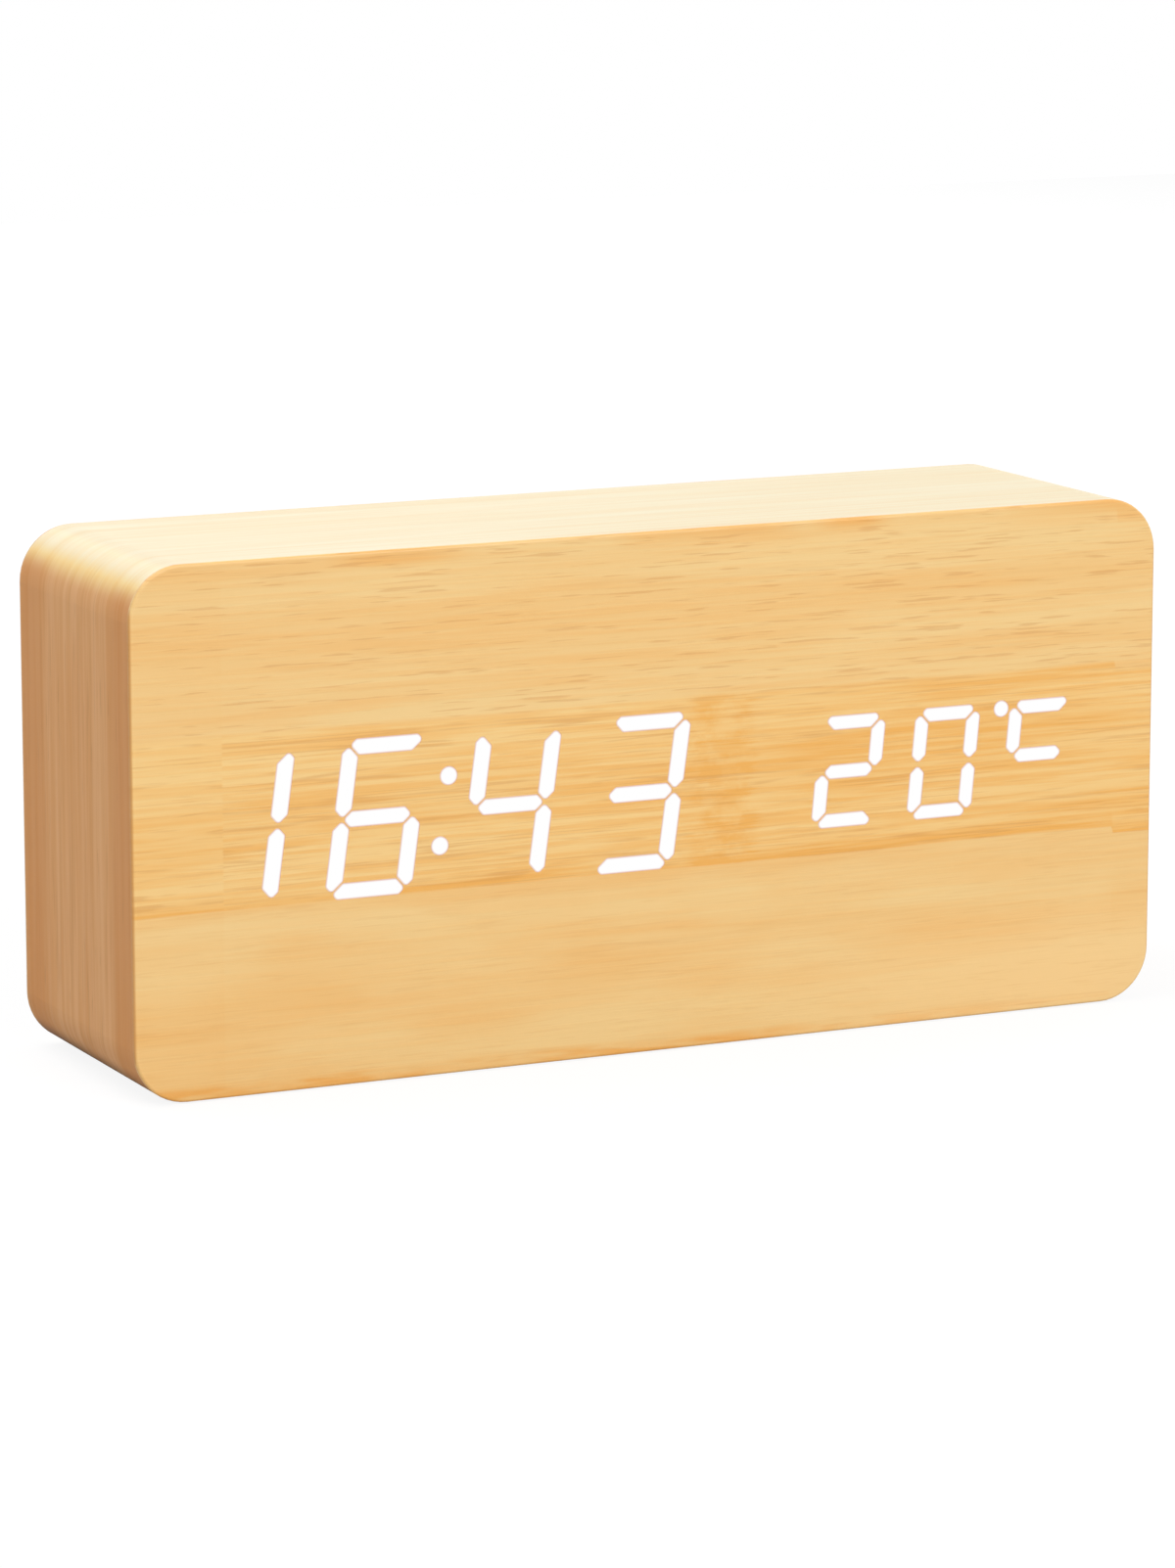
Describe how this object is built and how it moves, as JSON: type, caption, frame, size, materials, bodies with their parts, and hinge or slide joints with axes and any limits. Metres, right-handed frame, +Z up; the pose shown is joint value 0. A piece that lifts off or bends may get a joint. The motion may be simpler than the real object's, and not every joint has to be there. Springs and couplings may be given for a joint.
{
  "type": "digital LED desk clock",
  "caption": "Wood-veneered block desk clock with rounded corners; slanted LED digits glow through its front as time and temperature, with push buttons, power inlet and battery flap behind.",
  "frame": {"origin": "under the middle of the case, on the surface that the clock stands on", "axes": "+X along the case to the right as seen from the front, +Y from the display to the rear panel, +Z up"},
  "size_m": [0.15, 0.04, 0.07],
  "materials": {
    "veneer": "light bamboo-coloured veneer, satin",
    "lit_veneer": "white light through the veneer",
    "fibreboard": "raw fibreboard",
    "white_plastic": "matt white moulding",
    "milky_resin": "milky cast resin",
    "led_package": "pale yellow lens",
    "circuit_board": "green solder mask",
    "chip_resin": "black moulding compound",
    "tinned_metal": "tinned",
    "screw_steel": "zinc plated",
    "black_plastic": "fine textured black moulding",
    "button_plastic": "smooth dark moulding",
    "cell_jacket": "printed jacket, left plain",
    "grey_insulation": "flexible",
    "red_insulation": "flexible",
    "black_insulation": "flexible"
  },
  "bodies": {
    "case": {"front_veneer": "veneer", "rim_veneer": "veneer", "rear_edge_veneer": "veneer", "lit_time_segments": "lit_veneer", "lit_temperature_segments": "lit_veneer", "front_board": "fibreboard", "case_frame": "fibreboard", "time_reflector": "white_plastic", "temperature_reflector": "white_plastic", "time_diffusers": "milky_resin", "temperature_diffusers": "milky_resin", "display_leds": "led_package", "display_board": "circuit_board", "display_board_screws": "screw_steel", "controller_chip": "chip_resin", "chip_legs": "tinned_metal", "timing_crystal": "tinned_metal", "rear_panel": "black_plastic", "rear_panel_screws": "screw_steel", "control_board": "circuit_board", "control_board_screws": "screw_steel", "set_switch": "chip_resin", "up_switch": "chip_resin", "down_switch": "chip_resin", "dc_jack": "black_plastic", "dc_jack_pin": "tinned_metal", "buzzer": "chip_resin", "microphone": "tinned_metal", "thermistor": "chip_resin", "battery_tub": "black_plastic", "aaa_cells": "cell_jacket", "battery_contacts": "tinned_metal", "display_header": "white_plastic", "control_header": "white_plastic", "ribbon_cable": "grey_insulation", "red_lead": "red_insulation", "black_lead": "black_insulation"},
    "cover": {"battery_cover": "black_plastic"},
    "set_key": {"set_button": "button_plastic", "set_plunger": "chip_resin"},
    "up_key": {"up_button": "button_plastic", "up_plunger": "chip_resin"},
    "down_key": {"down_button": "button_plastic", "down_plunger": "chip_resin"}
  },
  "joints": [
    {"name": "cover_swing", "type": "hinge", "parent": "case", "child": "cover", "pos_m": [0.024, 0.0178, 0.0176], "axis": [-1, 0, 0], "range_deg": [0, 95]},
    {"name": "set_press", "type": "slide", "parent": "case", "child": "set_key", "axis": [0, -1, 0], "range_m": [0, 0.0005], "stiffness_N_per_m": 1000},
    {"name": "up_press", "type": "slide", "parent": "case", "child": "up_key", "axis": [0, -1, 0], "range_m": [0, 0.0005], "stiffness_N_per_m": 1000},
    {"name": "down_press", "type": "slide", "parent": "case", "child": "down_key", "axis": [0, -1, 0], "range_m": [0, 0.0005], "stiffness_N_per_m": 1000}
  ]
}
